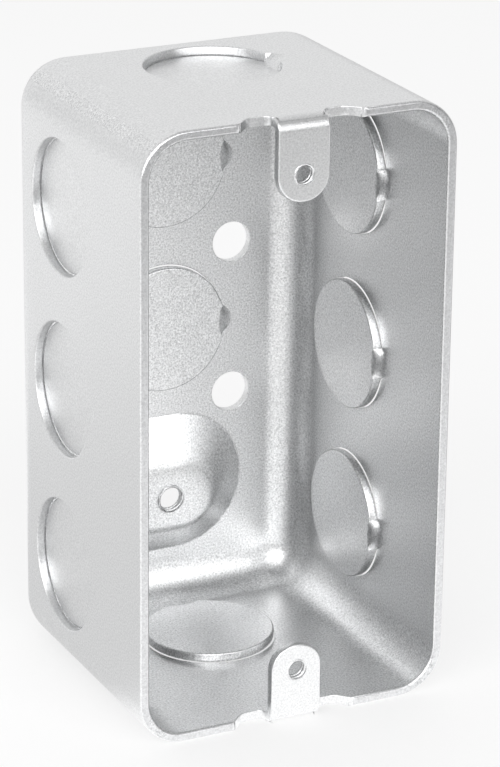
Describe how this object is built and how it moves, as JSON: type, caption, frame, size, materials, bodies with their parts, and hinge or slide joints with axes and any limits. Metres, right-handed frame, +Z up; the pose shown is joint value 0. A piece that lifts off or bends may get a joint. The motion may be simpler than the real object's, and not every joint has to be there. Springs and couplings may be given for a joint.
{
  "type": "handy box",
  "caption": "Narrow drawn-steel electrical box, open at the front, with bent-in screw ears, pushed-in round knockouts and a raised ground boss.",
  "frame": {"origin": "middle of the footprint, on the floor, with the box standing on its lower end wall", "axes": "+Z up along the long side; the open front faces -Y and the back wall +Y; +X is right as seen from the front"},
  "size_m": [0.0544, 0.0532, 0.1016],
  "materials": {
    "galvanised_steel": "galvanised sheet, dull sheen with a fine grain"
  },
  "bodies": {
    "root": {"handy_box": "galvanised_steel"}
  },
  "joints": []
}
